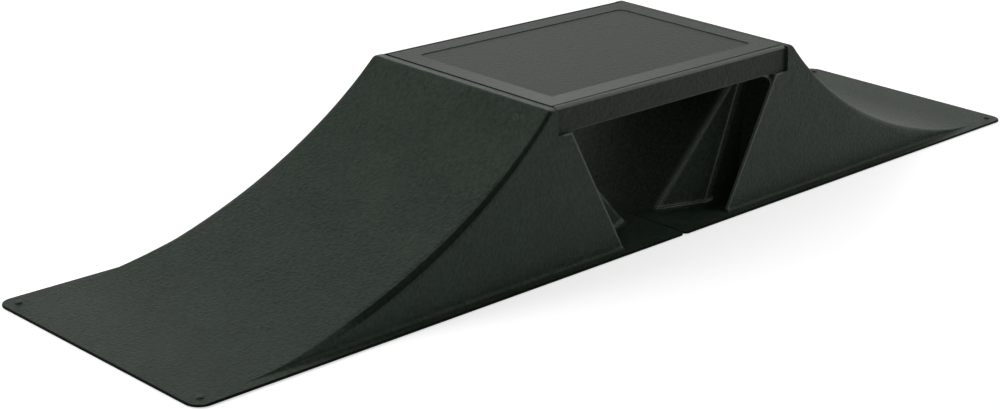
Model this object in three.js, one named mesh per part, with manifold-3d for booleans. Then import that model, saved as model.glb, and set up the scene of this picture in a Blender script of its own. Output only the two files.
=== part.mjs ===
// A launch ramp set for skateboards, scooters and small bikes. Two like ramps, moulded in
// black plastic, stand back to back on rubber feet, and a table top lies between their lips.
// Millimetres, +Z up. X runs along the set and Y across it. The origin is on the ground,
// under the middle of the seam between the ramps. Each ramp is drawn with its seam end at
// x = 0 and its toe at +X, and the other ramp is the same moulding turned half round.

import * as THREE from 'three';
import { mergeVertices } from 'three/addons/utils/BufferGeometryUtils.js';
import Module from 'manifold-3d';

// Whole set
const baseWidth = 380; // across the base plates
const rampLength = 826; // seam end to toe edge
const deckHeight = 217; // ground to the top of the table
const wall = 4; // moulded wall of ramps and table
const seamGap = 0.5; // between the two base plates
const fitGap = 0.3; // between pieces that touch
const overrun = 30; // a cutting solid runs past what it cuts

// Base plate
const groundClear = 0.8; // under the plate, held by the feet
const plateThick = 3.4;
const plateEdge = 1.2; // rounding of the plate's edges
const toeCornerRadius = 20;
const seamCornerRadius = 8;

// Side walls, which lean in from the plate to the deck
const footHalfWidth = 174.4; // at the plate
const topHalfWidth = 161.4; // at deck height
const footFillet = 5; // where walls meet the plate
const lipEdgeRadius = 7; // long edges of the riding face, tight at the lip
const lowEdgeRadius = 13; // and wide from here down
const lowEdgeStart = 450;

// Riding curve, a smooth sweep from the toe plate up to the lip
const toeFlat = 72; // level plate between the curve's foot and the toe edge
const crest = 250.5; // where the level lip ends, from the seam end
const lipRadius = 7; // rolls the curve over to the level lip
const lipAngle = 45.7; // degrees, slope where the roll meets the curve
const lipDrop = 0.8; // lip below the deck
const toeHandleShare = 0.3; // reach of the curve's handles, of its span
const lipHandleShare = 0.355;
const runOut = 14; // the curve's last stretch, sunk in the plate
const runOutSink = 0.4;

// Back of a ramp: two side wings, and a deep nose between them that reaches to the seam.
// Both lean forward up to the level of the table's skirt, and stand upright above it.
const wingFoot = 110.5; // rear edge of the wings, at the plate
const wingHead = 214.5; // and where it turns upright
const noseFoot = 28; // rear face of the nose, at the plate
const noseHead = 206; // and where it turns upright
const noseFootHalfWidth = 109; // at the rear face
const noseTopHalfWidth = 100.5;
const noseSweep = 28; // hollow rounding from the rear face to the plate
const cheekFootHalfWidth = 135.5; // where the nose's cheeks meet the wings' line
const cheekTopHalfWidth = 101;
const noseCornerRadius = 12;
const cheekEdgeRadius = 3;
const cheekStand = 1; // the cheeks end this far behind the wings' rear edges
const slotTop = 174; // each wing stands clear of the nose by a slot up to here
const slotCornerRadius = 12;
const slotEndFoot = 180; // how far in the slot ends, at the plate
const slotEndTop = 238; // and at deck height

// Ribs under the riding face
const ribThick = 3;
const ribDepth = 22;
const ribPitchAcross = 78;
const ribPitchAlong = 84;
const ribsAcross = 3;
const ribsAlong = 5;
const firstCrossRib = 300; // from the seam end

// Table top
const tableEnd = 239.6; // from the middle of the set
const deckSeam = 0.5; // open joint between the table and each lip
const tableInset = 4.4; // table's sides, in from the ramps' sides
const endRadius = 1.5; // rounding of the table's ends, beside the lips
const skirtDepth = 35; // below the deck
const rimRadius = 6;
const grooveInset = 8; // groove beside the rim, from the table's side
const grooveWidth = 2.4;
const grooveDepth = 1.2;
const panelSideInset = 37; // sunk panel, from the table's sides
const panelEndInset = 31.5; // and from its ends
const panelDepth = 0.8;
const panelCornerRadius = 10;
const deckRibDepth = 14;
const deckRibInset = 38; // end ribs, from the table's ends
const deckRibsAcross = 4;
const deckRibsAlong = 3;
const deckRibPitch = 76;

// Rubber feet, set in pockets under the base plate. Those at the toe have a stem too, pushed
// up through the plate to a round head.
const padRadius = 10;
const padBevel = 1;
const pocketDepth = 1.6; // pocket in the plate that takes the pad
const stemRadius = 3;
const headRadius = 4.6;
const headRim = 0.5;
const headHeight = 2.2;
const toeFootInset = 20; // from the toe edge
const seamFootInset = 30; // from the seam end
const toeFootSideInset = 19; // from the plate's side edge
const seamFootSideInset = 30;

// Smoothness
const meshTolerance = 0.02;
const curveSteps = 40;
const innerCurveSteps = 22;
const cornerSteps = 4;
const roundSides = 28;
const lipSteps = 8;
const sweepSteps = 5;
const lowEdgeShare = 0.45; // roundings on a wall lower than their own size, of its height

// Heights and places that follow
const plateTop = groundClear + plateThick;
const plateMiddle = groundClear + plateThick / 2;
const crestHeight = deckHeight - lipDrop;
const ledgeHeight = deckHeight - wall - fitGap;
const ceiling = ledgeHeight - wall;
const step = tableEnd + deckSeam;
const skirtBottom = deckHeight - skirtDepth;
const halfBase = baseWidth / 2;
const curveStart = rampLength - toeFlat;

const wasm = await Module();
wasm.setup();

const V2 = (x, y) => new THREE.Vector2(x, y);
const radians = THREE.MathUtils.degToRad;
const blend = THREE.MathUtils.lerp;

// A size that changes evenly from the plate's top face to a height, and its lean.
const rising = (foot, top, height = deckHeight) => (z) => (
  blend(foot, top, (z - plateTop) / (height - plateTop))
);
const lean = (foot, top, height = deckHeight) => Math.atan((top - foot) / (height - plateTop));

// The same, but upright above the level of the table's skirt.
const uprightHead = (size) => (z) => size(Math.min(z, skirtBottom));

const sideAt = rising(footHalfWidth, topHalfWidth);
const tableSideAt = (z) => sideAt(z) - tableInset;
const rearAt = uprightHead(rising(wingFoot, wingHead, skirtBottom));
const noseAt = uprightHead(rising(noseFoot, noseHead, skirtBottom));
const noseHalfAt = uprightHead(rising(noseFootHalfWidth, noseTopHalfWidth));
const cheekAt = uprightHead(rising(cheekFootHalfWidth, cheekTopHalfWidth));
const slotEndAt = rising(slotEndFoot, slotEndTop);
const draft = lean(topHalfWidth, footHalfWidth);
const noseLean = lean(noseFoot, noseHead, skirtBottom);

// Distance along a level line that a wall of the given lean takes up.
const levelThick = (thickness, angle) => thickness / Math.cos(angle);
const sideThick = levelThick(wall, draft);
const rebateDepth = tableInset + levelThick(wall + fitGap, draft);

function toSolid(geometry) {
  const bare = geometry.clone();
  bare.deleteAttribute('normal');
  bare.deleteAttribute('uv');
  const merged = mergeVertices(bare);
  return new wasm.Manifold(new wasm.Mesh({
    numProp: 3,
    vertProperties: new Float32Array(merged.attributes.position.array),
    triVerts: new Uint32Array(merged.index.array),
  }));
}

function toGeometry(solid) {
  const { vertProperties, triVerts } = solid.asOriginal().simplify(meshTolerance).getMesh();
  const geometry = new THREE.BufferGeometry();
  geometry.setAttribute('position', new THREE.BufferAttribute(vertProperties, 3));
  geometry.setIndex(new THREE.BufferAttribute(triVerts, 1));
  geometry.computeVertexNormals();
  return geometry;
}

const joined = (solids) => solids.reduce((sum, each) => sum.add(each));

// Closed skin over rings of points, with flat ends. Each ring runs anticlockwise seen from
// the end that the rings lead to, and place turns a ring's point into a point in space.
function loft(rings, place) {
  const count = rings[0].length;
  const points = rings.flatMap((ring, k) => ring.map((p) => place(p, k)));
  const faces = [];
  for (let k = 0; k + 1 < rings.length; k += 1) {
    for (let i = 0; i < count; i += 1) {
      const a = k * count + i;
      const b = k * count + ((i + 1) % count);
      faces.push(a, b, b + count, a, b + count, a + count);
    }
  }
  const last = (rings.length - 1) * count;
  THREE.ShapeUtils.triangulateShape(rings[0], []).forEach(([a, b, c]) => faces.push(c, b, a));
  THREE.ShapeUtils.triangulateShape(rings.at(-1), []).forEach(([a, b, c]) => {
    faces.push(last + a, last + b, last + c);
  });
  const geometry = new THREE.BufferGeometry().setFromPoints(points);
  geometry.setIndex(faces);
  return toSolid(geometry);
}

// Outline given as (x, z) points, carried across the set from -reach to +reach.
function acrossPrism(points, reach) {
  const geometry = new THREE.ExtrudeGeometry(new THREE.Shape(points), {
    depth: reach * 2, bevelEnabled: false,
  });
  geometry.rotateX(Math.PI / 2);
  geometry.translate(0, reach, 0);
  return toSolid(geometry);
}

// Outline given as (y, z) points or as a shape, carried along the set from one x to another.
function alongPrism(outline, from, to) {
  const shape = outline instanceof THREE.Shape ? outline : new THREE.Shape(outline);
  const geometry = new THREE.ExtrudeGeometry(shape, {
    depth: to - from, bevelEnabled: false, curveSegments: cornerSteps,
  });
  const axes = [new THREE.Vector3(0, 1, 0), new THREE.Vector3(0, 0, 1), new THREE.Vector3(1, 0, 0)];
  geometry.applyMatrix4(new THREE.Matrix4().makeBasis(...axes));
  geometry.translate(from, 0, 0);
  return toSolid(geometry);
}

function boxBetween(low, high) {
  const size = high.clone().sub(low);
  const geometry = new THREE.BoxGeometry(size.x, size.y, size.z);
  geometry.translate(...low.clone().addScaledVector(size, 1 / 2));
  return toSolid(geometry);
}

// Upright round bar on the origin, from one height to another.
function post(radius, low, high) {
  const geometry = new THREE.CylinderGeometry(radius, radius, high - low, roundSides);
  geometry.rotateX(Math.PI / 2);
  geometry.translate(0, 0, (low + high) / 2);
  return toSolid(geometry);
}

function roundedRectangle(left, right, low, high, leftRadius, rightRadius) {
  const shape = new THREE.Shape();
  const quarter = Math.PI / 2;
  shape.moveTo(left + leftRadius, low);
  shape.absarc(right - rightRadius, low + rightRadius, rightRadius, -quarter, 0);
  shape.absarc(right - rightRadius, high - rightRadius, rightRadius, 0, quarter);
  shape.absarc(left + leftRadius, high - leftRadius, leftRadius, quarter, 2 * quarter);
  shape.absarc(left + leftRadius, low + leftRadius, leftRadius, 2 * quarter, 3 * quarter);
  return shape;
}

// Points of an arc round a centre, both ends included.
function arc(centre, radius, from, to, steps = cornerSteps) {
  return Array.from({ length: steps + 1 }, (_, i) => {
    const angle = blend(from, to, i / steps);
    return V2(centre.x + radius * Math.cos(angle), centre.y + radius * Math.sin(angle));
  });
}

// A half outline from the foot up, closed by its mirror image on the other side.
const mirrored = (half) => [...half, ...half.map((p) => V2(-p.x, p.y)).reverse()];

// The riding curve from the lip's roll down to the toe plate, as (x, z).
function ridingCurve() {
  const slope = radians(lipAngle);
  const start = crest + lipRadius * Math.sin(slope);
  const height = crestHeight - lipRadius * (1 - Math.cos(slope));
  const span = curveStart - start;
  const handle = span * lipHandleShare;
  return new THREE.CubicBezierCurve(
    V2(start, height),
    V2(start + handle * Math.cos(slope), height - handle * Math.sin(slope)),
    V2(curveStart - span * toeHandleShare, plateTop),
    V2(curveStart, plateTop),
  );
}

// Points of the riding curve, moved square to it by a depth into the wall.
function sunkCurve(depth, steps) {
  const curve = ridingCurve();
  return Array.from({ length: steps + 1 }, (_, i) => {
    const point = curve.getPoint(i / steps);
    const tangent = curve.getTangent(i / steps);
    return V2(point.x + tangent.y * depth, point.y - tangent.x * depth);
  });
}

// The ramp's top line over its whole length, from behind the wings to the toe.
function topLine() {
  const upright = Math.PI / 2;
  const centre = V2(crest, crestHeight - lipRadius);
  const roll = arc(centre, lipRadius, upright, upright - radians(lipAngle), lipSteps).slice(0, -1);
  return [
    V2(wingFoot - overrun, crestHeight),
    ...roll,
    ...sunkCurve(0, curveSteps),
    V2(curveStart + runOut, plateTop - runOutSink),
  ];
}

// Outline across the ramp at a point of its top line: fillets on the plate, leaning walls
// and rounded long edges.
function crossSection({ x, y: top }) {
  const level = Math.min(plateTop, top - runOutSink);
  const rise = top - level;
  const widening = THREE.MathUtils.clamp((x - crest) / (lowEdgeStart - crest), 0, 1);
  const round = Math.min(blend(lipEdgeRadius, lowEdgeRadius, widening), rise * lowEdgeShare);
  const fillet = Math.min(footFillet, rise * lowEdgeShare);
  const foot = V2(sideAt(level + fillet) + levelThick(fillet, draft), level + fillet);
  const shoulder = V2(sideAt(top - round) - levelThick(round, draft), top - round);
  return mirrored([
    V2(foot.x, plateMiddle - plateThick / 4),
    ...arc(foot, fillet, -Math.PI / 2, draft - Math.PI),
    ...arc(shoulder, round, draft, Math.PI / 2),
  ]);
}

function outerWedge() {
  const line = topLine();
  const rings = line.map(crossSection);
  return loft(rings, (p, k) => new THREE.Vector3(line[k].x, p.x, p.y));
}

// Outline of the nose at one height, as (x, y), drawn in by an inset, and with the rear face
// swept out by a length of its own. It is carried on into the ramp past the slots' ends, the
// inner one further than the outer.
function noseOutline({ z, inset, sweep }) {
  const front = noseAt(z) + levelThick(Math.max(inset, 0), noseLean) - sweep;
  const back = slotEndAt(z) + wall / 2 + Math.max(inset, 0);
  const narrow = noseHalfAt(z) - inset;
  const wide = cheekAt(z) - inset;
  const edge = rearAt(z) - cheekStand + inset;
  const radius = noseCornerRadius + sweep - Math.max(inset, 0);
  const turn = Math.atan2(edge - front, wide - narrow);
  const centre = V2(front + radius, narrow - radius * Math.tan(turn / 2));
  const corner = arc(centre, radius, Math.PI, Math.PI - turn);
  const bend = Math.max(cheekEdgeRadius - inset, wall / 4);
  const pull = bend * Math.tan((Math.PI / 2 - turn) / 2);
  const cheek = arc(V2(edge + pull, wide - bend), bend, Math.PI - turn, Math.PI / 2);
  const half = [...corner, ...cheek, V2(back, wide)];
  return [...half.map((p) => V2(p.x, -p.y)), ...half.reverse()];
}

function nose(levels) {
  return loft(levels.map(noseOutline), (p, k) => new THREE.Vector3(p.x, p.y, levels[k].z));
}

// The nose's outside, which sweeps out to meet the plate: widely from its rear face and in a
// small fillet from its cheeks.
function outerNose() {
  const tangent = Math.PI / 2 - noseLean;
  const reach = noseSweep * Math.tan(tangent / 2);
  const low = { z: plateMiddle, inset: -footFillet, sweep: reach };
  const levels = [low];
  for (let i = 0; i <= sweepSteps; i += 1) {
    const angle = tangent * (i / sweepSteps);
    const rise = noseSweep * (1 - Math.cos(angle));
    const sweep = reach + rise * Math.tan(noseLean) - noseSweep * Math.sin(angle);
    const left = Math.max(footFillet - rise, 0);
    const inset = Math.sqrt(footFillet ** 2 - left ** 2) - footFillet;
    levels.push({ z: plateTop + rise, inset, sweep });
  }
  levels.push({ z: skirtBottom, inset: 0, sweep: 0 }, { z: ledgeHeight, inset: 0, sweep: 0 });
  return nose(levels);
}

function innerNose() {
  return nose([-overrun, skirtBottom, ceiling].map((z) => ({ z, inset: wall, sweep: 0 })));
}

// The slot beside each wing as a solid, grown by a wall thickness to shape its lining.
function slot(side, grown) {
  const top = slotTop + grown;
  const low = plateTop - (grown ? overrun : 0);
  const inner = (z) => cheekAt(z) - wall * 3 / 4;
  const outer = (z) => sideAt(z) - sideThick + grown;
  const shape = new THREE.Shape();
  shape.moveTo(side * inner(low), low);
  shape.lineTo(side * outer(low), low);
  shape.lineTo(side * outer(top - slotCornerRadius), top - slotCornerRadius);
  shape.quadraticCurveTo(side * outer(top), top, side * (outer(top) - slotCornerRadius), top);
  shape.lineTo(side * (inner(top) + slotCornerRadius), top);
  const turn = top - slotCornerRadius;
  shape.quadraticCurveTo(side * inner(top), top, side * inner(turn), turn);
  const tunnel = alongPrism(shape, 0, slotEndTop + overrun);
  const slant = levelThick(grown, lean(slotEndFoot, slotEndTop));
  const reach = acrossPrism([
    V2(-overrun, -overrun),
    V2(slotEndAt(-overrun) + slant, -overrun),
    V2(slotEndAt(deckHeight) + slant, deckHeight),
    V2(-overrun, deckHeight),
  ], halfBase);
  return tunnel.intersect(reach);
}

// What lies behind the wings' rear edges.
function behindWings() {
  return acrossPrism([
    V2(-overrun, -overrun),
    V2(rearAt(-overrun), -overrun),
    V2(wingHead, skirtBottom),
    V2(wingHead, deckHeight + overrun),
    V2(-overrun, deckHeight + overrun),
  ], halfBase);
}

// The strip of a side wall that the table's skirt covers, to the given depth.
function skirtBand(side, depth, low, end) {
  const high = deckHeight + overrun;
  return alongPrism([
    V2(side * (sideAt(low) - depth), low),
    V2(side * (sideAt(low) + overrun), low),
    V2(side * (sideAt(high) + overrun), high),
    V2(side * (sideAt(high) - depth), high),
  ], 0, end);
}

function basePlate() {
  const shape = roundedRectangle(
    seamGap / 2 + plateEdge, rampLength - plateEdge, plateEdge - halfBase, halfBase - plateEdge,
    seamCornerRadius - plateEdge, toeCornerRadius - plateEdge,
  );
  const geometry = new THREE.ExtrudeGeometry(shape, {
    depth: plateThick - 2 * plateEdge, bevelThickness: plateEdge, bevelSize: plateEdge,
    bevelSegments: 2, curveSegments: 2 * cornerSteps,
  });
  geometry.translate(0, 0, groundClear + plateEdge);
  return toSolid(geometry);
}

// The open space under the ramp's skin, with the ribs left standing in it.
function hollow() {
  const rear = levelThick(wall, lean(wingFoot, wingHead, skirtBottom));
  const skin = sunkCurve(wall, innerCurveSteps);
  const under = skin.filter((p) => p.y < ceiling);
  const meet = skin[0].x + (skin[0].y - ceiling) / Math.tan(radians(lipAngle));
  const profile = [
    V2(rearAt(-overrun) + rear, -overrun),
    V2(under.at(-1).x, -overrun),
    ...[...under].reverse(),
    V2(meet, ceiling),
    V2(wingHead + rear, ceiling),
    V2(wingHead + rear, skirtBottom),
  ];
  const tent = alongPrism([
    V2(sideThick - sideAt(-overrun), -overrun),
    V2(sideAt(-overrun) - sideThick, -overrun),
    V2(sideAt(deckHeight) - sideThick, deckHeight),
    V2(sideThick - sideAt(deckHeight), deckHeight),
  ], 0, rampLength);
  const ribLine = sunkCurve(wall + ribDepth, innerCurveSteps).filter((p) => p.y < ceiling - ribDepth);
  const deep = acrossPrism([
    V2(-overrun, -overrun),
    V2(ribLine.at(-1).x, -overrun),
    ...[...ribLine].reverse(),
    V2(ribLine[0].x, ceiling - ribDepth),
    V2(-overrun, ceiling - ribDepth),
  ], halfBase);
  const grid = [];
  for (let i = 0; i < ribsAcross; i += 1) {
    const y = (i - (ribsAcross - 1) / 2) * ribPitchAcross;
    grid.push(boxBetween(
      new THREE.Vector3(firstCrossRib, y - ribThick / 2, groundClear),
      new THREE.Vector3(curveStart, y + ribThick / 2, deckHeight),
    ));
  }
  for (let i = 0; i < ribsAlong; i += 1) {
    const x = firstCrossRib + i * ribPitchAlong;
    grid.push(boxBetween(
      new THREE.Vector3(x - ribThick / 2, -halfBase, groundClear),
      new THREE.Vector3(x + ribThick / 2, halfBase, deckHeight),
    ));
  }
  const ribs = joined(grid).subtract(deep);
  let space = acrossPrism(profile, halfBase).intersect(tent).subtract(ribs);
  for (const side of [-1, 1]) {
    space = space.subtract(slot(side, wall));
    space = space.subtract(skirtBand(side, rebateDepth + wall, skirtBottom - fitGap - wall, step + wall));
  }
  return space.add(innerNose());
}

function footHoles() {
  const holes = [];
  for (const { x, y, headed } of footPlaces()) {
    holes.push(post(padRadius + fitGap, -overrun, groundClear + pocketDepth).translate([x, y, 0]));
    if (headed) {
      holes.push(post(stemRadius + fitGap, 0, plateTop + overrun).translate([x, y, 0]));
    }
  }
  return joined(holes);
}

// Where the feet stand under a ramp, and which have a head above the plate.
function footPlaces() {
  const toe = rampLength - toeFootInset;
  const toeSide = halfBase - toeFootSideInset;
  const seamSide = halfBase - seamFootSideInset;
  return [
    { name: 'toe_right', x: toe, y: -toeSide, headed: true },
    { name: 'toe_left', x: toe, y: toeSide, headed: true },
    { name: 'seam_right', x: seamFootInset, y: -seamSide, headed: false },
    { name: 'seam_left', x: seamFootInset, y: seamSide, headed: false },
  ];
}

function rampShell() {
  let body = outerWedge().subtract(behindWings());
  const aboveLedge = boxBetween(
    new THREE.Vector3(0, -halfBase, ledgeHeight),
    new THREE.Vector3(step, halfBase, deckHeight + overrun),
  );
  body = body.subtract(aboveLedge);
  for (const side of [-1, 1]) {
    body = body.subtract(slot(side, 0));
    body = body.subtract(skirtBand(side, rebateDepth, skirtBottom - fitGap, step));
  }
  body = joined([body, outerNose(), basePlate()]);
  return body.subtract(hollow()).subtract(footHoles());
}

function tableTop() {
  const rimHeight = deckHeight - rimRadius;
  const rim = V2(tableSideAt(rimHeight) - levelThick(rimRadius, draft), rimHeight);
  const groove = tableSideAt(deckHeight) - grooveInset;
  const half = [
    V2(tableSideAt(skirtBottom), skirtBottom),
    ...arc(rim, rimRadius, draft, Math.PI / 2, 2 * cornerSteps),
    V2(groove + grooveWidth / 2, deckHeight),
    V2(groove + grooveWidth / 4, deckHeight - grooveDepth),
    V2(groove - grooveWidth / 4, deckHeight - grooveDepth),
    V2(groove - grooveWidth / 2, deckHeight),
  ];
  const inside = [
    V2(tableSideAt(deckHeight - wall) - sideThick, deckHeight - wall),
    V2(tableSideAt(skirtBottom) - sideThick, skirtBottom),
  ];
  const under = [...inside.map((p) => V2(-p.x, p.y)).reverse(), ...inside];
  const upright = Math.PI / 2;
  const end = V2(tableEnd - endRadius, deckHeight - endRadius);
  const length = acrossPrism(mirrored([
    V2(tableEnd, skirtBottom - overrun),
    ...arc(end, endRadius, 0, upright),
  ]), halfBase);
  const tray = alongPrism([...mirrored(half), ...under], -tableEnd - overrun, tableEnd + overrun)
    .intersect(length);

  const panelX = tableEnd - panelEndInset;
  const panelY = tableSideAt(deckHeight) - panelSideInset;
  const panel = new THREE.ExtrudeGeometry(
    roundedRectangle(-panelX, panelX, -panelY, panelY, panelCornerRadius, panelCornerRadius),
    { depth: overrun, bevelEnabled: false, curveSegments: cornerSteps },
  );
  panel.translate(0, 0, deckHeight - panelDepth);

  const ribs = [];
  const reach = tableEnd - deckRibInset;
  const low = deckHeight - wall - deckRibDepth;
  const high = deckHeight - wall / 2;
  for (let i = 0; i < deckRibsAcross; i += 1) {
    const x = blend(-reach, reach, i / (deckRibsAcross - 1));
    ribs.push(alongPrism([
      V2(-tableSideAt(low) + sideThick / 2, low),
      V2(tableSideAt(low) - sideThick / 2, low),
      V2(tableSideAt(high) - sideThick / 2, high),
      V2(-tableSideAt(high) + sideThick / 2, high),
    ], x - ribThick / 2, x + ribThick / 2));
  }
  for (let i = 0; i < deckRibsAlong; i += 1) {
    const y = (i - (deckRibsAlong - 1) / 2) * deckRibPitch;
    ribs.push(boxBetween(
      new THREE.Vector3(-reach, y - ribThick / 2, low),
      new THREE.Vector3(reach, y + ribThick / 2, high),
    ));
  }
  return joined([tray, ...ribs]).subtract(toSolid(panel));
}

// A foot: a flat pad, and where it is headed a stem through the base plate too, with a
// rounded head that holds it.
function rubberFoot(headed) {
  const padTop = groundClear + pocketDepth - fitGap;
  const headLow = plateTop + fitGap;
  const profile = [
    V2(0, 0),
    V2(padRadius - padBevel, 0),
    V2(padRadius, padBevel),
    V2(padRadius, padTop),
  ];
  if (headed) {
    profile.push(V2(stemRadius, padTop), V2(stemRadius, headLow), V2(headRadius, headLow));
    for (let i = 0; i <= cornerSteps; i += 1) {
      const angle = (Math.PI / 2) * (i / cornerSteps);
      const rise = (headHeight - headRim) * Math.sin(angle);
      profile.push(V2(headRadius * Math.cos(angle), headLow + headRim + rise));
    }
  } else {
    profile.push(V2(0, padTop));
  }
  const geometry = new THREE.LatheGeometry(profile, roundSides);
  geometry.rotateX(Math.PI / 2);
  return toGeometry(toSolid(geometry));
}

const plastic = new THREE.MeshStandardMaterial({ color: 0x22261f, roughness: 0.55, metalness: 0 });
const tablePlastic = new THREE.MeshStandardMaterial({ color: 0x262a24, roughness: 0.5, metalness: 0 });
const rubber = new THREE.MeshStandardMaterial({ color: 0x151515, roughness: 0.8, metalness: 0 });

function namedMesh(name, geometry, material) {
  const mesh = new THREE.Mesh(geometry, material);
  mesh.name = name;
  return mesh;
}

const shell = toGeometry(rampShell());
const headedFoot = rubberFoot(true);
const plainFoot = rubberFoot(false);

function ramp(letter) {
  const group = new THREE.Group();
  group.add(namedMesh(`ramp_${letter}_shell`, shell, plastic));
  for (const { name, x, y, headed } of footPlaces()) {
    const mesh = namedMesh(`foot_${letter}_${name}`, headed ? headedFoot : plainFoot, rubber);
    mesh.position.set(x, y, 0);
    group.add(mesh);
  }
  return group;
}

const rampA = ramp('a');
rampA.rotation.z = Math.PI;
const rampB = ramp('b');

const set = new THREE.Group();
set.add(rampA, rampB, namedMesh('table_top', toGeometry(tableTop()), tablePlastic));

export default set;
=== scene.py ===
"""A black plastic ride-over ramp set in a pale studio, dressed over its CAD frame. Metres, +Z up."""

import math

import bpy
from mathutils import Matrix, Vector


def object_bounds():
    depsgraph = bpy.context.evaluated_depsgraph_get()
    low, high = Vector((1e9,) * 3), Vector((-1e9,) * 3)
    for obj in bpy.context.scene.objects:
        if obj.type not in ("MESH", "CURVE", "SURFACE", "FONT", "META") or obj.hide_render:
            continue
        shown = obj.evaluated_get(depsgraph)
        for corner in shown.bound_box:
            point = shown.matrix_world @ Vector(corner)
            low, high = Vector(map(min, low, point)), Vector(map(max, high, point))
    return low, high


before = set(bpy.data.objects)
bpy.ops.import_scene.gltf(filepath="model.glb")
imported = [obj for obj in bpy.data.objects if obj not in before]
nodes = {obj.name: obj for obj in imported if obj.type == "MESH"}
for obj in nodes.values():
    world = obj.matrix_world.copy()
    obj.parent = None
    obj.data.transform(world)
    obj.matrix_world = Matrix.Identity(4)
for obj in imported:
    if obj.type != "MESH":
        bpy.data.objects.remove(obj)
cad_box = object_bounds()

# Places on the mouldings in mm, with X and Y measured from the middle and Z from the ground

MM = 0.001  # in metres
HALF_LENGTH, HALF_WIDTH, TOP = (value / MM for value in cad_box[1])
BASE_TOP = 4.0  # upper side of the base plates
SKIRT_FOOT = TOP - 35.0  # lower edge of the table's skirts
TABLE_END = 240.0  # X of the seam between the table and the lips
LIP_EDGE = 250.0  # X where a level lip turns down into its riding face
PANEL_X = 208.6  # half the length of the table's sunk panel
PANEL_Y = 121.0  # half the width of that panel
GROOVE_Y = 149.3  # middle of the groove inside the table's rim
RIM_Y = 151.5  # where that rim begins
REAR_FOOT_X = 108.0  # rear edges of the noses and wings at the ground
REAR_LEAN = 0.585  # how far those edges lean outwards per unit of height
NOSE_Y = 150.0  # half width that takes in the noses but not the wings
WING_Y = 200.0  # half width that takes in the wings too
RING_SPOT = (268.4, 116.1, 200.9)  # middle of the small ring below each lip
RING_INNER = 2.0
RING_OUTER = 3.5

# Colours that the mouldings share

# painted shade for seams, the groove, the rolled edges and the base plate's edge
PAINTED_SHADE = (0.006, 0.007, 0.006)
# painted highlights on the rear edges of the wings and noses under the table
WING_EDGE_HIGHLIGHT = (0.23, 0.25, 0.23)
NOSE_EDGE_HIGHLIGHT = (0.50, 0.53, 0.50)

# Camera, fitted to the photograph's straight edges, in metres, degrees and, for lens and sensor, mm

CAMERA_SPOT = (-2.0138, -1.7145, 0.9352)
AZIMUTH = 47.175
ELEVATION = 19.789
ROLL = 2.734
LENS = 71.82
SENSOR_WIDTH = 36
VIEW_DEPTH = 50  # metres

# Studio, with lengths in metres

FLOOR_REACH = 14.0
FLOOR_GREY = 0.86
FLOOR_LIFT = 0.6  # glow of the floor where it is seen directly, so that it shows as white
WORLD_LIGHT = 0.42
DARK_PATCH = (-0.02, -0.615, 0.788)  # direction of the patch of the surround that stays dark
LAMP_DISTANCE = 3.0


# Node helpers

def new_material(name):
    material = bpy.data.materials.new(name)
    material.use_nodes = True
    tree = material.node_tree
    tree.nodes.clear()
    return material, tree


def feed(tree, socket, value):
    """Links the socket to another node's output, or sets it to a plain value."""
    if isinstance(value, bpy.types.NodeSocket):
        tree.links.new(value, socket)
    else:
        socket.default_value = value


def add(tree, kind, *inputs, **values):
    """A node of that kind.

    The values go to the inputs of that name, or else to the node's own settings. The inputs then fill
    the first sockets in turn.
    """
    node = tree.nodes.new(kind)
    for key, value in values.items():
        label = key.replace("_", " ")
        if label in node.inputs:
            feed(tree, node.inputs[label], value)
        else:
            setattr(node, key, value)
    for socket, value in zip(node.inputs, inputs):
        feed(tree, socket, value)
    return node


def maths(tree, operation, *values):
    return add(tree, "ShaderNodeMath", *values, operation=operation).outputs["Value"]


def product(tree, first, *others):
    result = first
    for other in others:
        result = maths(tree, "MULTIPLY", result, other)
    return result


def noise(tree, vector, scale, detail, roughness):
    node = add(
        tree, "ShaderNodeTexNoise", Vector=vector, Scale=scale, Detail=detail, Roughness=roughness,
    )
    return node.outputs["Fac"]


def grey_ramp(tree, source, stops):
    """A colour ramp on source, given as [(position, grey), ...]."""
    node = add(tree, "ShaderNodeValToRGB", source)
    elements = node.color_ramp.elements
    while len(elements) < len(stops):
        elements.new(0.5)
    for element, (position, grey) in zip(elements, stops):
        element.position = position
        element.color = (grey, grey, grey, 1)
    return node.outputs["Color"]


def fade(tree, source, start, stop):
    """0 where source is at start, 1 where it is at stop, smoothly between."""
    node = add(
        tree, "ShaderNodeMapRange", interpolation_type="SMOOTHSTEP",
        Value=source, From_Min=start, From_Max=stop,
    )
    return node.outputs["Result"]


def grade(tree, source, start, stop, low, high):
    """low where source is at start, high where it is at stop, evenly between."""
    node = add(
        tree, "ShaderNodeMapRange", Value=source, From_Min=start, From_Max=stop, To_Min=low, To_Max=high,
    )
    return node.outputs["Result"]


def overlay(tree, base, colour, mask, share):
    """The base colour with that share of the other colour over it where the mask is 1."""
    weight = product(tree, mask, share)
    mix = add(tree, "ShaderNodeMix", data_type="RGBA", Factor=weight, A=base, B=(*colour, 1))
    return mix.outputs["Result"]


# Masks, which are 1 where their feature is and 0 elsewhere, with the places given in mm

def coordinate(tree, place, axis):
    """Where the point lies along that axis of the frame, in metres."""
    parts = add(tree, "ShaderNodeSeparateXYZ", place.outputs["Object"])
    return parts.outputs[axis]


def outward(tree, place, axis):
    """Distance from the middle along that axis, to either side."""
    return maths(tree, "ABSOLUTE", coordinate(tree, place, axis))


def fade_along(tree, place, axis, start, stop):
    """0 where that coordinate is at start, 1 where it is at stop."""
    return fade(tree, coordinate(tree, place, axis), start * MM, stop * MM)


def fade_outward(tree, place, axis, start, stop):
    """The same by the distance from the middle, to either side."""
    return fade(tree, outward(tree, place, axis), start * MM, stop * MM)


def grade_along(tree, place, axis, reach, low, high):
    """low at that reach on the minus side of the middle, high at the same reach on the plus side."""
    return grade(tree, coordinate(tree, place, axis), -reach * MM, reach * MM, low, high)


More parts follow.
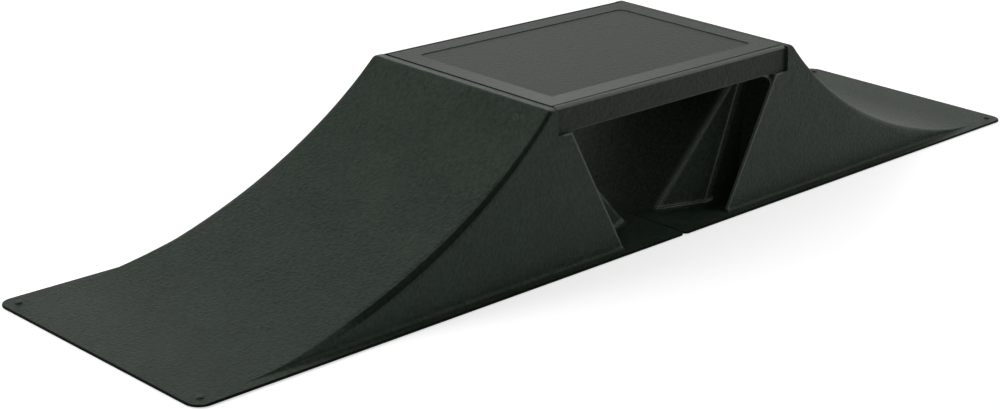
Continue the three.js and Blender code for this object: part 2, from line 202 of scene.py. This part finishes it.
def painted_highlight_band(tree, place, axis, outside, inside, below, above):
    """A painted highlight with higher gloss: a strip that sets in between those distances from the middle
    and those heights.

    The lip at the +X end is left out.
    """
    strip = fade_outward(tree, place, axis, outside, inside)
    height = fade_along(tree, place, "Z", below, above)
    before_far_lip = fade_along(tree, place, "X", TABLE_END + 5.0, TABLE_END - 5.0)
    return product(tree, strip, height, before_far_lip)


def shade_line(tree, place, axis, middle, half_width, above):
    """A thin line of painted shade, as in a seam or groove, at that distance from the middle and above
    that height.
    """
    offset = maths(tree, "SUBTRACT", outward(tree, place, axis), middle * MM)
    away = maths(tree, "ABSOLUTE", offset)
    line = fade(tree, away, half_width * 1.2 * MM, half_width * 0.8 * MM)
    return product(tree, line, fade_along(tree, place, "Z", above - 1.0, above))


def panel_border_highlight(tree, place):
    """A painted highlight on the border round the table's panel, stronger at the -Y side and at the -X
    end.
    """
    past_ends = fade_outward(tree, place, "X", PANEL_X - 1.5, PANEL_X + 1.5)
    past_sides = fade_outward(tree, place, "Y", PANEL_Y - 1.5, PANEL_Y + 1.5)
    border = maths(tree, "MAXIMUM", past_ends, past_sides)
    lengthwise = grade_along(tree, place, "X", PANEL_X, 1.1, 0.3)
    crosswise = grade_along(tree, place, "Y", PANEL_Y, 0.85, 0.15)
    top = fade_along(tree, place, "Z", TOP - 1.5, TOP - 0.5)
    return product(tree, border, lengthwise, crosswise, top)


def ring_mark(tree, place):
    """A small round witness mark below each lip, at the same spot of the moulding on both ramps."""
    side = maths(tree, "SIGN", coordinate(tree, place, "X"))
    turned = add(
        tree, "ShaderNodeCombineXYZ", outward(tree, place, "X"),
        product(tree, coordinate(tree, place, "Y"), side), coordinate(tree, place, "Z"),
    )
    centre = tuple(value * MM for value in RING_SPOT)
    distance = add(
        tree, "ShaderNodeVectorMath", turned.outputs["Vector"], centre, operation="DISTANCE",
    )
    away = distance.outputs["Value"]
    outside_hole = fade(tree, away, RING_INNER * MM, (RING_INNER + 1.0) * MM)
    inside_rim = fade(tree, away, (RING_OUTER + 1.0) * MM, RING_OUTER * MM)
    return product(tree, outside_hole, inside_rim)


def corners(tree, radius, flat_dot, sharp_dot):
    """Close to a corner of the moulding, where a rounded normal turns away from the true one.

    The mask sets in at flat_dot, the dot product of the two normals, and is full at sharp_dot.
    """
    rounded = add(tree, "ShaderNodeBevel", samples=4, Radius=radius * MM)
    flat = add(tree, "ShaderNodeNewGeometry")
    alike = add(
        tree, "ShaderNodeVectorMath", rounded.outputs["Normal"], flat.outputs["Normal"],
        operation="DOT_PRODUCT",
    )
    return fade(tree, alike.outputs["Value"], flat_dot, sharp_dot)


def rear_zone(tree, place, half_width):
    """The leaning rear edges of noses and wings under the table, out to that distance across."""
    upright = maths(
        tree, "MULTIPLY_ADD", coordinate(tree, place, "Z"), -REAR_LEAN, outward(tree, place, "X"),
    )
    before_slots = fade(tree, upright, (REAR_FOOT_X + 20.0) * MM, (REAR_FOOT_X + 12.0) * MM)
    across = fade_outward(tree, place, "Y", half_width + 5.0, half_width)
    off_base = fade_along(tree, place, "Z", BASE_TOP + 1.0, BASE_TOP + 4.0)
    below_table = fade_along(tree, place, "Z", SKIRT_FOOT + 2.0, SKIRT_FOOT - 2.0)
    return product(tree, before_slots, across, off_base, below_table)


def facing_sideways(tree, place):
    """How squarely the surface faces the near or the far side, from 0 to 1."""
    facing = add(tree, "ShaderNodeSeparateXYZ", place.outputs["Normal"])
    return maths(tree, "ABSOLUTE", facing.outputs["Y"])


def rolled_edge_shade(tree, place):
    """Painted shade where a riding face rolls over into the side walls, stronger on the -X ramp."""
    sideways = facing_sideways(tree, place)
    off_face = fade(tree, sideways, 0.2, 0.5)
    off_wall = fade(tree, sideways, 0.985, 0.88)
    strength = grade_along(tree, place, "X", 100.0, 0.75, 0.15)
    past_lip = fade_outward(tree, place, "X", LIP_EDGE - 6.0, LIP_EDGE + 6.0)
    raised = fade_along(tree, place, "Z", BASE_TOP + 10.0, BASE_TOP + 30.0)
    return product(tree, off_face, off_wall, strength, past_lip, raised)


def hairline_scuffs(tree, place):
    """Fine scratches that run nearly along X."""
    stretched = add(
        tree, "ShaderNodeMapping", Vector=place.outputs["Object"],
        Scale=(6.0, 160.0, 6.0), Rotation=(0.0, 0.0, 0.22),
    )
    hair = noise(tree, stretched.outputs["Vector"], 5.0, 3.0, 0.55)
    return grey_ramp(tree, hair, [(0.66, 0.0), (0.72, 1.0)])


def painted_shade_mask(tree, place, shade_lines):
    """Painted shade: on the edge of the base plate, on the rolled edges and along the given shade lines.
    """
    shaded = fade_along(tree, place, "Z", BASE_TOP + 0.1, BASE_TOP - 0.3)
    shaded = maths(tree, "MAXIMUM", shaded, rolled_edge_shade(tree, place))
    for line in shade_lines:
        shaded = maths(tree, "MAXIMUM", shaded, shade_line(tree, place, *line))
    return shaded


# Materials

def painted_edge_highlights(tree, place, base):
    """The base colour with painted highlights on the edges that show under the table."""
    wing_edges = product(tree, corners(tree, 6.0, 0.985, 0.90), rear_zone(tree, place, WING_Y))
    nose_edges = product(tree, corners(tree, 10.0, 0.985, 0.92), rear_zone(tree, place, NOSE_Y))
    highlighted = overlay(tree, base, WING_EDGE_HIGHLIGHT, wing_edges, 0.9)
    return overlay(tree, highlighted, NOSE_EDGE_HIGHLIGHT, nose_edges, 0.9)


def moulded_plastic(
    name, deep, pale, scuff_and_highlight, wall_share, highlight_band, shade_lines, own_mask, own_share, roughness, grain, grain_depth,
):
    """Satin black plastic: a pebbled grain, a mottle in colour and gloss, hairline scuffs, painted
    highlights, painted shade.

    The mottle runs from the deep to the pale colour. The scuff-and-highlight colour lies on the scuffs,
    as a painted highlight on the highlight band and, by the shares given, lightens the side walls and
    fills the moulding's own mask. Painted shade lies along the shade lines, on the rolled edges and on
    the base plate's edge. The grain's size and depth are in mm.
    """
    material, tree = new_material(name)
    place = add(tree, "ShaderNodeTexCoord")
    spot = place.outputs["Object"]

    clouds = noise(tree, spot, 14.0, 5.0, 0.6)
    specks = noise(tree, spot, 0.9 / (grain * MM), 3.0, 0.6)
    mottle = add(tree, "ShaderNodeMix", Factor=0.7, A=clouds, B=specks).outputs["Result"]
    depth = grey_ramp(tree, mottle, [(0.36, 0.0), (0.64, 1.0)])
    tint = add(tree, "ShaderNodeMix", data_type="RGBA", Factor=depth, A=(*deep, 1), B=(*pale, 1))

    # painted highlight on the lip strip or the table's rim, which is also made glossier
    highlight_strip = painted_highlight_band(tree, place, *highlight_band)
    walls = fade(tree, facing_sideways(tree, place), 0.90, 0.97)
    shaded = painted_shade_mask(tree, place, shade_lines)
    colour = overlay(tree, tint.outputs["Result"], scuff_and_highlight, hairline_scuffs(tree, place), 0.10)
    colour = painted_edge_highlights(tree, place, colour)
    # the side walls are made a little lighter
    colour = overlay(tree, colour, scuff_and_highlight, walls, wall_share)
    colour = overlay(tree, colour, scuff_and_highlight, highlight_strip, 0.9)
    # the ring mark on the ramps; a painted highlight on the table's panel border
    colour = overlay(tree, colour, scuff_and_highlight, own_mask(tree, place), own_share)
    # painted shade over the seams, groove, rolled edges and base plate's edge
    colour = overlay(tree, colour, PAINTED_SHADE, shaded, 0.9)

    gloss = grade(tree, mottle, 0.0, 1.0, *roughness)
    polished = add(tree, "ShaderNodeMix", Factor=highlight_strip, A=gloss, B=0.28)
    pebbles = noise(tree, spot, 1.2 / (grain * MM), 4.0, 0.6)
    bump = add(tree, "ShaderNodeBump", Strength=0.6, Distance=grain_depth * MM, Height=pebbles)
    shader = add(
        tree, "ShaderNodeBsdfPrincipled", IOR=1.5, Base_Color=colour,
        # less reflection where shade is painted
        Specular_IOR_Level=grade(tree, shaded, 0.0, 1.0, 0.10, 0.01),
        Roughness=polished.outputs["Result"], Normal=bump.outputs["Normal"],
    )
    add(tree, "ShaderNodeOutputMaterial", Surface=shader.outputs["BSDF"])
    return material


def foot_rubber():
    """Dull rubber with a dusty mottle and a soft skin texture."""
    material, tree = new_material("foot_rubber_detail")
    place = add(tree, "ShaderNodeTexCoord")
    dust = noise(tree, place.outputs["Object"], 260.0, 4.0, 0.5)
    tint = add(
        tree, "ShaderNodeMix", data_type="RGBA",
        Factor=dust, A=(0.014, 0.014, 0.014, 1), B=(0.03, 0.03, 0.029, 1),
    )
    bump = add(tree, "ShaderNodeBump", Strength=0.3, Distance=0.1 * MM, Height=dust)
    shader = add(
        tree, "ShaderNodeBsdfPrincipled", IOR=1.45, Base_Color=tint.outputs["Result"],
        Roughness=grade(tree, dust, 0.0, 1.0, 0.55, 0.75), Normal=bump.outputs["Normal"],
    )
    add(tree, "ShaderNodeOutputMaterial", Surface=shader.outputs["BSDF"])
    return material


# A highlight band is an axis, then the distances from the middle and the heights between which its
# painted highlight sets in.
# A shade line is an axis, its distance from the middle, its half width and the height above which its
# painted shade shows.
ramp_plastic = moulded_plastic(
    "ramp_plastic_detail",
    deep=(0.0080, 0.0165, 0.0085),
    pale=(0.0275, 0.0425, 0.0290),
    scuff_and_highlight=(0.060, 0.078, 0.060),
    wall_share=0.14,
    # painted highlight along the lip
    highlight_band=("X", LIP_EDGE + 3.5, LIP_EDGE + 1.0, TOP - 3.5, TOP - 1.5),
    # painted shade in the seam at the lip and along the outer edges of the base plate
    shade_lines=[
        ("X", TABLE_END + 0.2, 1.0, TOP - 3.0),
        ("Y", HALF_WIDTH, 1.6, 0.5),
        ("X", HALF_LENGTH, 1.6, 0.5),
    ],
    own_mask=ring_mark,
    own_share=0.6,
    roughness=(0.42, 0.50),
    grain=5.0,
    grain_depth=3.0,
)
table_plastic = moulded_plastic(
    "table_plastic_detail",
    deep=(0.0080, 0.0130, 0.0075),
    pale=(0.0215, 0.0310, 0.0210),
    scuff_and_highlight=(0.125, 0.145, 0.125),
    wall_share=0.0,
    # painted highlight along the table's rim
    highlight_band=("Y", RIM_Y, RIM_Y + 2.0, TOP - 4.5, TOP - 3.0),
    shade_lines=[
        # painted shade in the seam at the table's ends and in the groove inside its rim
        ("X", TABLE_END - 0.4, 1.2, TOP - 3.0),
        ("Y", GROOVE_Y, 1.3, TOP - 3.0),
    ],
    own_mask=panel_border_highlight,
    own_share=1.0,
    roughness=(0.38, 0.50),
    grain=6.0,
    grain_depth=2.2,
)
rubber = foot_rubber()


# Every sharp corner of the CAD solids is rounded, and the flats stay flat

def round_edges(obj, width, segments):
    weld = obj.modifiers.new("weld", "WELD")
    weld.merge_threshold = 0.01 * MM
    flats = obj.modifiers.new("flats", "DECIMATE")
    flats.decimate_type = "DISSOLVE"
    flats.angle_limit = math.radians(0.3)
    bevel = obj.modifiers.new("edges", "BEVEL")
    bevel.width = width * MM
    bevel.segments = segments
    bevel.limit_method = "ANGLE"
    bevel.angle_limit = math.radians(30)
    bevel.miter_outer = "MITER_ARC"
    bevel.harden_normals = False
    normals = obj.modifiers.new("normals", "WEIGHTED_NORMAL")
    normals.keep_sharp = True


def dress(obj, material, rounding, segments):
    """The material and the small roundings, in mm, of one piece."""
    obj.data.materials.clear()
    obj.data.materials.append(material)
    round_edges(obj, rounding, segments)


for name, obj in nodes.items():
    if name.endswith("_shell"):
        dress(obj, ramp_plastic, 0.9, 3)
    elif name == "table_top":
        dress(obj, table_plastic, 0.8, 3)
    else:
        dress(obj, rubber, 0.3, 2)


# Camera

def place_camera():
    azimuth, elevation, roll = (math.radians(angle) for angle in (AZIMUTH, ELEVATION, ROLL))
    level = math.cos(elevation)
    forward = Vector((math.sin(azimuth) * level, math.cos(azimuth) * level, -math.sin(elevation)))
    right = Vector((math.cos(azimuth), -math.sin(azimuth), 0))
    up = right.cross(forward)
    tilted_right = right * math.cos(roll) + up * math.sin(roll)
    tilted_up = up * math.cos(roll) - right * math.sin(roll)
    data = bpy.data.cameras.new("camera")
    data.sensor_width = SENSOR_WIDTH
    data.lens = LENS
    data.clip_end = VIEW_DEPTH
    camera = bpy.data.objects.new("camera", data)
    turn = Matrix((tilted_right, tilted_up, -forward)).transposed()
    camera.matrix_world = Matrix.Translation(CAMERA_SPOT) @ turn.to_4x4()
    bpy.context.scene.collection.objects.link(camera)
    bpy.context.scene.camera = camera


# Studio: a pale floor, a white surround and three soft boxes

def seen_directly(tree):
    """1 where the camera, a reflection or a view through glass meets the surface, otherwise 0."""
    path = add(tree, "ShaderNodeLightPath")
    either = maths(tree, "MAXIMUM", path.outputs["Is Camera Ray"], path.outputs["Is Glossy Ray"])
    return maths(tree, "MAXIMUM", either, path.outputs["Is Transmission Ray"])


def floor():
    mesh = bpy.data.meshes.new("floor")
    corner_signs = [(-1, -1), (1, -1), (1, 1), (-1, 1)]
    corner_points = [(x * FLOOR_REACH, y * FLOOR_REACH, 0) for x, y in corner_signs]
    mesh.from_pydata(corner_points, [], [(0, 1, 2, 3)])
    obj = bpy.data.objects.new("floor", mesh)
    bpy.context.scene.collection.objects.link(obj)
    material, tree = new_material("floor")
    shader = add(
        tree, "ShaderNodeBsdfPrincipled", Base_Color=(FLOOR_GREY, FLOOR_GREY, FLOOR_GREY, 1),
        Roughness=0.9, Specular_IOR_Level=0.1, Emission_Color=(1, 1, 1, 1),
        Emission_Strength=product(tree, seen_directly(tree), FLOOR_LIFT),
    )
    add(tree, "ShaderNodeOutputMaterial", Surface=shader.outputs["BSDF"])
    mesh.materials.append(material)


def soft_box(name, direction, size, power):
    data = bpy.data.lights.new(name, "AREA")
    data.shape = "DISK"
    data.size = size
    data.energy = power
    obj = bpy.data.objects.new(name, data)
    toward = Vector(direction).normalized()
    obj.location = toward * LAMP_DISTANCE
    obj.rotation_mode = "QUATERNION"
    obj.rotation_quaternion = toward.to_track_quat("Z", "Y")
    bpy.context.scene.collection.objects.link(obj)


def surround():
    """White all round where it is seen, with a dark patch above and in front, as of an unlit ceiling."""
    world = bpy.data.worlds.new("surround")
    bpy.context.scene.world = world
    world.use_nodes = True
    tree = world.node_tree
    tree.nodes.clear()
    place = add(tree, "ShaderNodeTexCoord")
    toward = add(
        tree, "ShaderNodeVectorMath", place.outputs["Generated"], DARK_PATCH, operation="DOT_PRODUCT",
    )
    shade = grey_ramp(tree, toward.outputs["Value"], [(0.70, 1.0), (0.90, 0.1)])
    light = add(tree, "ShaderNodeBackground", Color=shade, Strength=WORLD_LIGHT)
    mirrored = add(tree, "ShaderNodeBackground", Color=shade, Strength=1.0)
    shown = add(tree, "ShaderNodeBackground", Color=(1, 1, 1, 1), Strength=1.0)
    seen_or_not = add(
        tree, "ShaderNodeMixShader",
        seen_directly(tree), light.outputs["Background"], mirrored.outputs["Background"],
    )
    path = add(tree, "ShaderNodeLightPath")
    final = add(
        tree, "ShaderNodeMixShader",
        path.outputs["Is Camera Ray"], seen_or_not.outputs["Shader"], shown.outputs["Background"],
    )
    add(tree, "ShaderNodeOutputWorld", Surface=final.outputs["Shader"])


place_camera()
floor()
surround()
soft_box("face", direction=(-0.75, 0.38, 0.54), size=1.4, power=25)
soft_box("lip", direction=(0.42, 0.64, 0.63), size=0.9, power=6)
soft_box("rim", direction=(0.69, -0.34, 0.64), size=1.0, power=15)
bpy.context.scene.view_settings.view_transform = "Standard"

bpy.context.view_layer.update()
